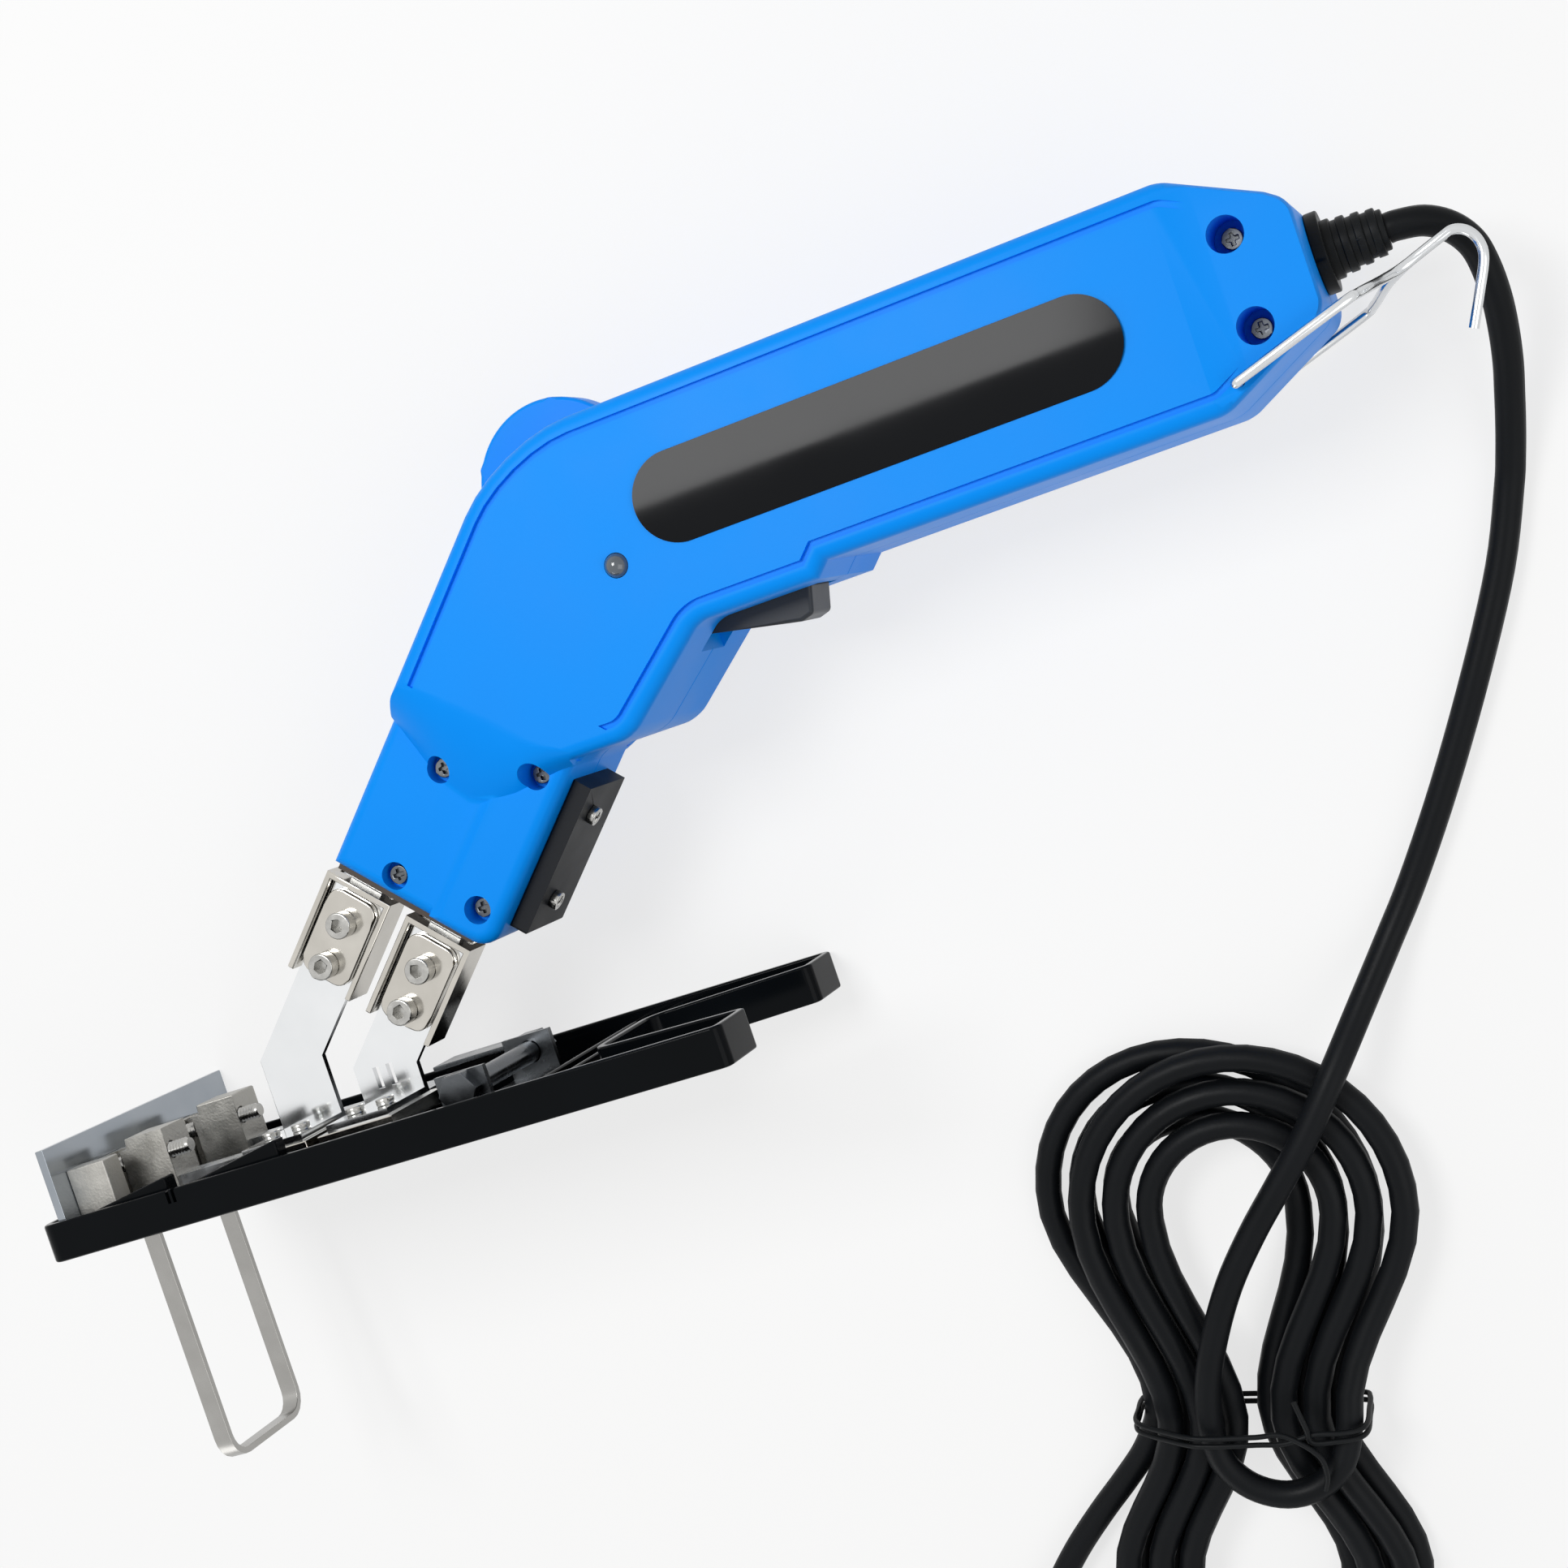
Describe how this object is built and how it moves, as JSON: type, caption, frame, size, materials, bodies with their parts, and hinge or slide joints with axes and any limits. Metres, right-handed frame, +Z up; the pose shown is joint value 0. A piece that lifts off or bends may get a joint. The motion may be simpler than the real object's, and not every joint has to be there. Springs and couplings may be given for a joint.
{
  "type": "electric hot knife",
  "caption": "Pistol-shaped electric hot knife with a groove-cutting sled, deep U blade, trigger, power dial and mains cord tied in a hank.",
  "frame": {"origin": "middle of the tool's footprint, on the bench that it lies on", "axes": "+X from the sled's front to the handle's rear, +Y from the blade up to the handle, +Z up from the bench"},
  "size_m": [0.3521, 0.378, 0.0805],
  "materials": {
    "blue_plastic": "moulded, fine grain",
    "steel": "zinc plated",
    "black_gloss": "glossy",
    "black_plastic": "satin",
    "lens": "clear lens",
    "red_plastic": "satin",
    "board": "printed board",
    "component": "mixed parts",
    "copper": "bare copper",
    "cream_plastic": "satin",
    "phenolic": "laminate",
    "chrome": "nickel plated",
    "bright_steel": "bright rolled",
    "grey_metal": "cast grey",
    "blade_steel": "stainless strip",
    "black_rubber": "smooth rubber"
  },
  "bodies": {
    "tool": {"casing_near": "blue_plastic", "casing_far": "blue_plastic", "casing_screws": "steel", "label_plate": "black_gloss", "indicator_lamp": "lens", "potentiometer": "black_plastic", "trigger_pin": "steel", "switch_body": "black_plastic", "circuit_board": "board", "board_parts": "component", "transformer_core": "steel", "transformer_winding": "copper", "terminal_block": "cream_plastic", "secondary_leads": "copper", "busbar_front": "copper", "busbar_rear": "copper", "heat_shield": "phenolic", "clamp_channel_front": "chrome", "clamp_channel_rear": "chrome", "clamp_plate_front": "chrome", "clamp_plate_rear": "chrome", "clamp_screws": "steel", "blade_arm_front": "bright_steel", "blade_arm_rear": "bright_steel", "nose_rail": "black_plastic", "rail_screws": "steel", "sled_base": "black_gloss", "foot_plates": "chrome", "foot_screws": "steel", "sled_conductors": "copper", "front_plate": "chrome", "spacer_block": "grey_metal", "blade_block_near": "grey_metal", "blade_block_far": "grey_metal", "block_screws": "black_plastic", "cross_bracket": "chrome", "cross_bolt": "steel", "cross_nut": "steel", "guide_strip": "steel", "cable_gland": "black_rubber", "cord_clip": "cream_plastic", "cord_inner": "black_rubber", "mains_leads": "copper", "cord_lead": "black_rubber", "cord_hank": "black_rubber", "hank_tie": "black_rubber", "cord_tail": "black_rubber", "plug_body": "black_plastic", "plug_pins": "steel"},
    "dial": {"dial_wheel": "blue_plastic", "dial_shaft": "steel"},
    "trigger_lever": {"trigger": "black_plastic"},
    "plunger": {"switch_plunger": "red_plastic"},
    "hook": {"hanger_hook": "steel"},
    "blade": {"cutting_blade": "blade_steel"}
  },
  "joints": [
    {"name": "trigger_pull", "type": "hinge", "parent": "tool", "child": "trigger_lever", "pos_m": [0.0063, 0.04731, 0.02715], "axis": [0, 0.0945, 0.9955], "range_deg": [0, 8], "stiffness_Nm_per_rad": 0.2, "springref_deg": -5.73},
    {"name": "plunger_push", "type": "slide", "parent": "tool", "child": "plunger", "axis": [0, 0.9955, -0.0945], "range_m": [0, 0.002]},
    {"name": "dial_turn", "type": "hinge", "parent": "tool", "child": "dial", "pos_m": [-0.0181, 0.08175, 0.02388], "axis": [0, 0.0945, 0.9955], "range_deg": [-135, 135]},
    {"name": "hook_swing", "type": "hinge", "parent": "tool", "child": "hook", "pos_m": [0.1258, 0.05139, 0.02676], "axis": [0, 0.0945, 0.9955], "range_deg": [-75, 3]},
    {"name": "blade_depth", "type": "slide", "parent": "tool", "child": "blade", "axis": [0, 0.9955, -0.0945], "range_m": [0, 0.012]}
  ],
  "couplings": [
    {"joint": "plunger_push", "follows": "trigger_pull", "m_per_rad": 0.012459}
  ]
}
